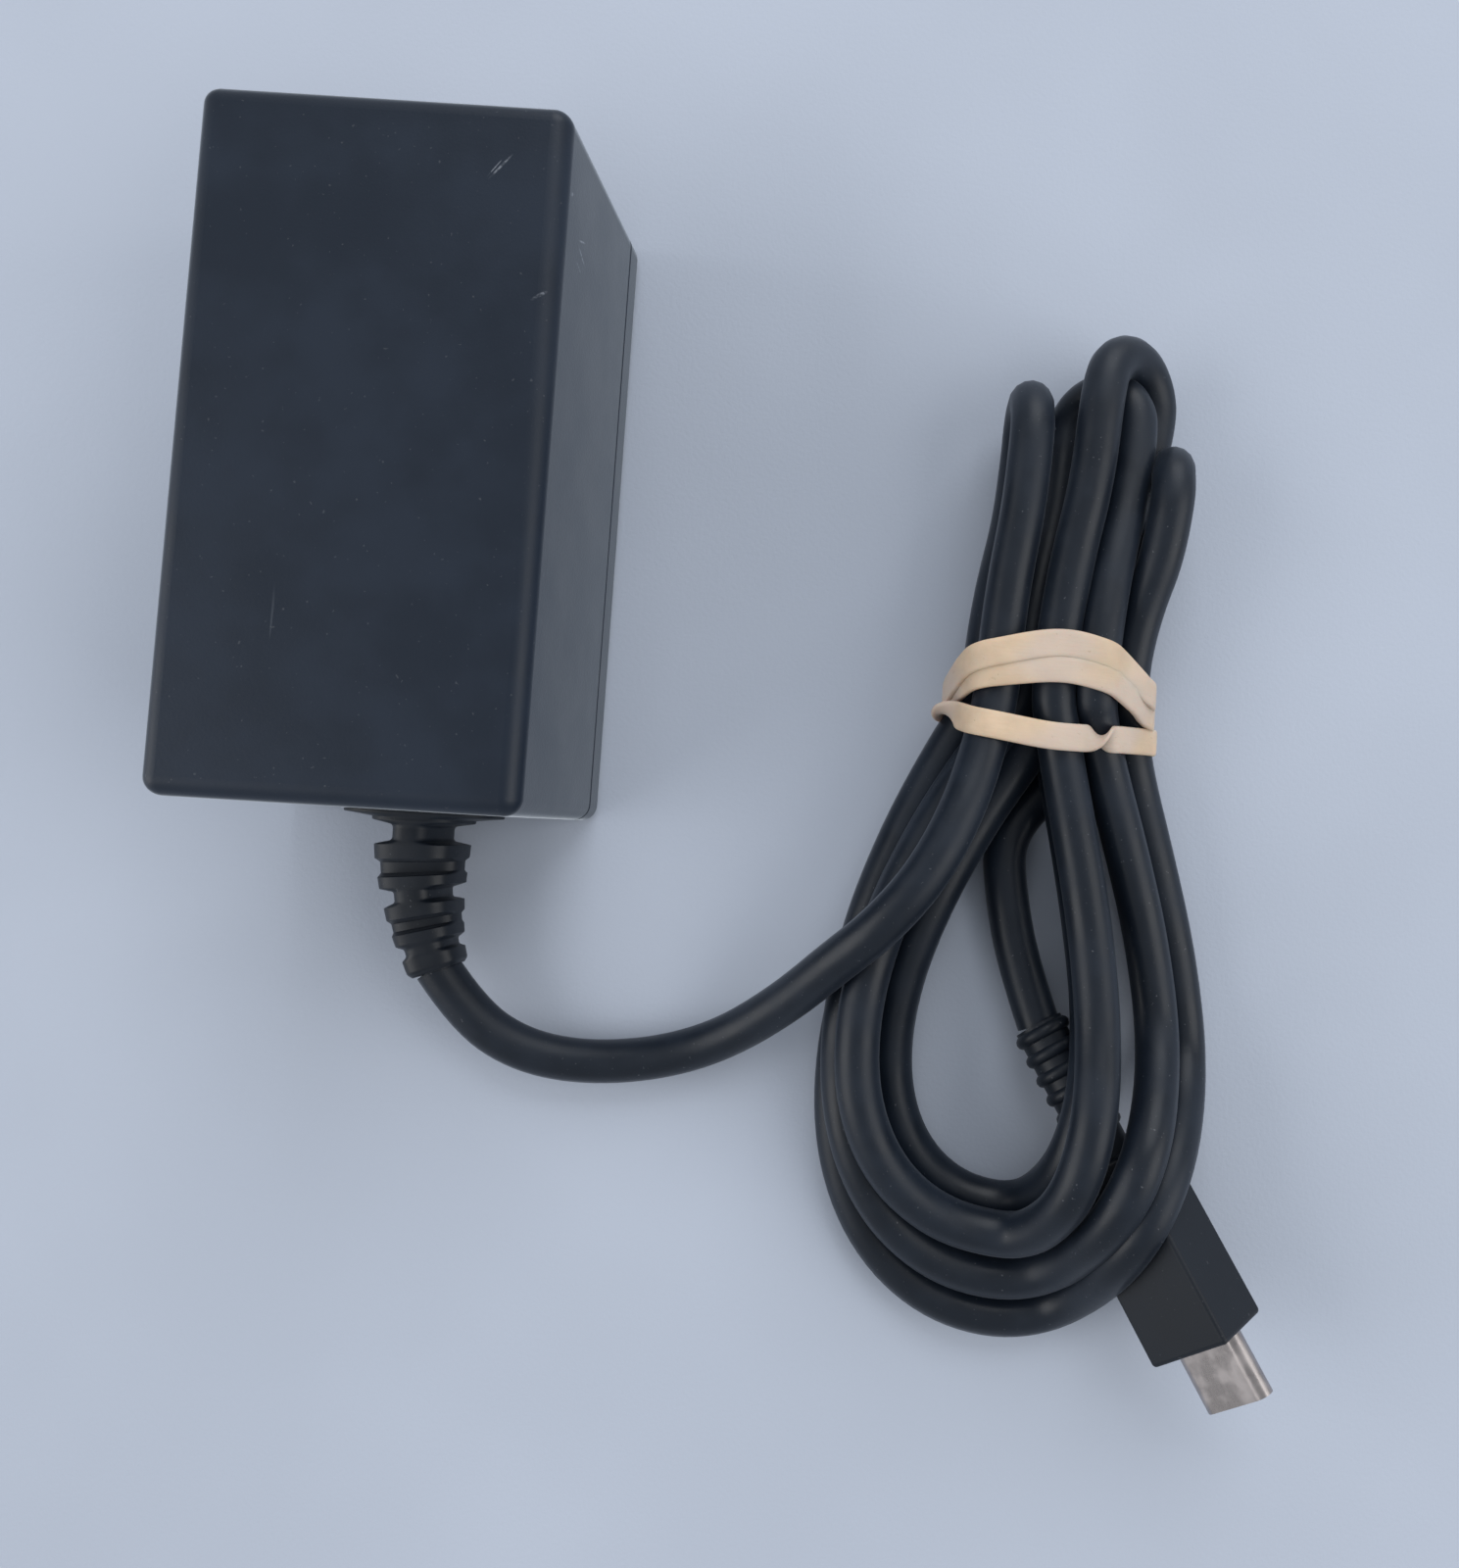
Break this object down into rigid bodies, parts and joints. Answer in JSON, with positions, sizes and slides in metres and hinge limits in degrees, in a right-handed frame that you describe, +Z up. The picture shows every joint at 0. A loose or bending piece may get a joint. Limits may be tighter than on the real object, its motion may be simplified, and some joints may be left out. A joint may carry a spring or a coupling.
{
  "type": "plug-in power adapter",
  "caption": "Plug-in mains power adapter with folding prongs, a captive cord folded in a banded hank and a slim oval low-voltage plug.",
  "frame": {"origin": "centre of the brick's flat underside, on the surface it lies on", "axes": "+Z up out of the surface, +Y along the brick away from its cord, +X across the brick towards the tied cord"},
  "size_m": [0.1112, 0.1247, 0.031],
  "materials": {
    "casing": "fine textured black ABS",
    "prong_metal": "nickel-plated brass, satin",
    "spring_metal": "phosphor bronze, bare",
    "board": "green solder mask",
    "film": "clear polyester film",
    "black_component": "moulded epoxy",
    "fuse_body": "ceramic tube with metal caps",
    "yellow_component": "film capacitor box",
    "green_component": "lacquered disc",
    "blue_component": "lacquered disc",
    "capacitor_sleeve": "printed-free shrink sleeve",
    "heatsink": "plain sheet",
    "ferrite": "ground ferrite",
    "bobbin": "moulded phenolic",
    "winding": "copper wire under yellow tape",
    "wire_insulation": "PVC insulation",
    "cord_jacket": "soft satin black jacket",
    "relief_rubber": "moulded soft black rubber",
    "band_rubber": "natural tan rubber",
    "overmold": "moulded black plug grip",
    "plug_metal": "bright nickel-plated steel",
    "contact_gold": "gold-plated copper alloy"
  },
  "bodies": {
    "adapter": {"top_housing": "casing", "bottom_cover": "casing", "contact_spring_live": "spring_metal", "contact_spring_neutral": "spring_metal", "detent_spring": "prong_metal", "circuit_board": "board", "insulation_sheet": "film", "output_wire_positive": "wire_insulation", "output_wire_negative": "black_component", "brick_strain_relief": "relief_rubber", "cord_lead": "cord_jacket", "cord_hank": "cord_jacket", "cord_tail": "cord_jacket", "rubber_band": "band_rubber", "plug_strain_relief": "relief_rubber", "plug_overmold": "overmold", "plug_shield_can": "plug_metal", "plug_board": "board", "plug_shell": "plug_metal", "plug_insulator": "black_component", "plug_contacts": "contact_gold", "plug_latches": "plug_metal", "fuse": "fuse_body", "x_capacitor": "yellow_component", "inrush_thermistor": "green_component", "bridge_rectifier": "black_component", "primary_heatsink": "heatsink", "switching_transistor": "black_component", "choke_core": "green_component", "choke_windings": "winding", "transformer_core": "ferrite", "transformer_bobbin": "bobbin", "transformer_winding": "winding", "bulk_capacitor": "capacitor_sleeve", "y_capacitor": "blue_component", "optocoupler": "black_component", "output_capacitors": "capacitor_sleeve", "output_inductor": "ferrite", "secondary_heatsink": "heatsink", "rectifier_transistor": "black_component", "controller_chip": "black_component"},
    "prongs": {"prong_carrier": "casing", "prong_live": "prong_metal", "prong_neutral": "prong_metal"}
  },
  "joints": [
    {"name": "prong_fold", "type": "hinge", "parent": "adapter", "child": "prongs", "pos_m": [0, 0.016, 0.0037], "axis": [1, 0, 0], "range_deg": [0, 90]}
  ]
}
